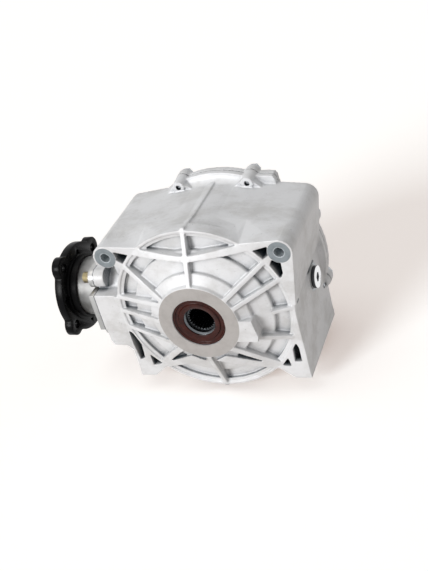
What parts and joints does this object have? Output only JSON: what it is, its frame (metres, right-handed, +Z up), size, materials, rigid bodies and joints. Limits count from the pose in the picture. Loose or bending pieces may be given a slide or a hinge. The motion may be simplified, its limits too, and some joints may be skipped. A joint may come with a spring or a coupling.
{
  "type": "rear axle final drive",
  "caption": "Ribbed cast final drive for a rear axle: a lobed input flange turns a bevel pinion, ring gear and differential with splined axle bores.",
  "frame": {"origin": "centre of the front axle bore on the machined hub face", "axes": "+Y along the axle into the case, -X out along the pinion to its input flange, +Z up to the mounting bosses"},
  "size_m": [0.3109, 0.176, 0.22],
  "materials": {
    "cast_aluminium": "blasted casting, faces milled",
    "turned_aluminium": "turned",
    "black_steel": "gloss black",
    "seal_rubber": "satin",
    "gasket_fibre": "matt",
    "yellow_zinc": "yellow zinc plate",
    "zinc_steel": "zinc plate",
    "bright_plug": "polished",
    "soft_washer": "satin",
    "cast_iron": "machined casting",
    "bearing_steel": "ground",
    "steel": "machined, oiled"
  },
  "bodies": {
    "housing": {"cartridge_bolts": "yellow_zinc", "cartridge_shim": "steel", "cover_bolts": "zinc_steel", "cover_gasket": "gasket_fibre", "dowel_pins": "steel", "drain_plug": "bright_plug", "drain_plug_washer": "soft_washer", "fill_plug": "bright_plug", "fill_plug_washer": "soft_washer", "front_carrier_bearing_outer": "bearing_steel", "front_output_seal": "seal_rubber", "head_pinion_bearing_outer": "bearing_steel", "main_case": "cast_aluminium", "nose_pinion_bearing_outer": "bearing_steel", "pinion_cartridge": "turned_aluminium", "pinion_seal": "seal_rubber", "rear_carrier_bearing_outer": "bearing_steel", "rear_output_seal": "seal_rubber", "side_cover": "cast_aluminium"},
    "pinion": {"head_pinion_bearing_inner": "bearing_steel", "head_pinion_bearing_rollers": "bearing_steel", "input_flange": "black_steel", "nose_pinion_bearing_inner": "bearing_steel", "nose_pinion_bearing_rollers": "bearing_steel", "pinion_bearing_spacer": "bearing_steel", "pinion_gear": "steel", "pinion_nut": "steel", "pinion_nut_washer": "steel"},
    "carrier": {"cross_pin": "steel", "cross_pin_lock": "steel", "differential_case": "cast_iron", "front_carrier_bearing_inner": "bearing_steel", "front_carrier_bearing_rollers": "bearing_steel", "rear_carrier_bearing_inner": "bearing_steel", "rear_carrier_bearing_rollers": "bearing_steel", "ring_gear": "steel", "ring_gear_bolts": "steel", "side_gear_washers": "soft_washer", "spider_gear_washers": "soft_washer"},
    "front_output": {"front_side_gear": "steel"},
    "rear_output": {"rear_side_gear": "steel"},
    "upper_spider": {"upper_spider_gear": "steel"},
    "lower_spider": {"lower_spider_gear": "steel"}
  },
  "joints": [
    {"name": "carrier_spin", "type": "hinge", "parent": "housing", "child": "carrier", "pos_m": [0, 0.0785, 0], "axis": [0, 1, 0], "continuous": true},
    {"name": "pinion_spin", "type": "hinge", "parent": "housing", "child": "pinion", "pos_m": [0, 0.0785, 0], "axis": [1, 0, 0], "continuous": true},
    {"name": "front_axle_spin", "type": "hinge", "parent": "carrier", "child": "front_output", "pos_m": [0, 0.076, 0], "axis": [0, 1, 0], "continuous": true},
    {"name": "rear_axle_spin", "type": "hinge", "parent": "carrier", "child": "rear_output", "pos_m": [0, 0.076, 0], "axis": [0, 1, 0], "continuous": true},
    {"name": "upper_spider_spin", "type": "hinge", "parent": "carrier", "child": "upper_spider", "pos_m": [0, 0.076, 0], "axis": [0, 0, 1], "continuous": true},
    {"name": "lower_spider_spin", "type": "hinge", "parent": "carrier", "child": "lower_spider", "pos_m": [0, 0.076, 0], "axis": [0, 0, 1], "continuous": true}
  ],
  "couplings": [
    {"joint": "pinion_spin", "follows": "carrier_spin", "ratio": 3.3636},
    {"joint": "rear_axle_spin", "follows": "front_axle_spin", "ratio": -1},
    {"joint": "upper_spider_spin", "follows": "front_axle_spin", "ratio": 1.4},
    {"joint": "lower_spider_spin", "follows": "front_axle_spin", "ratio": -1.4}
  ]
}
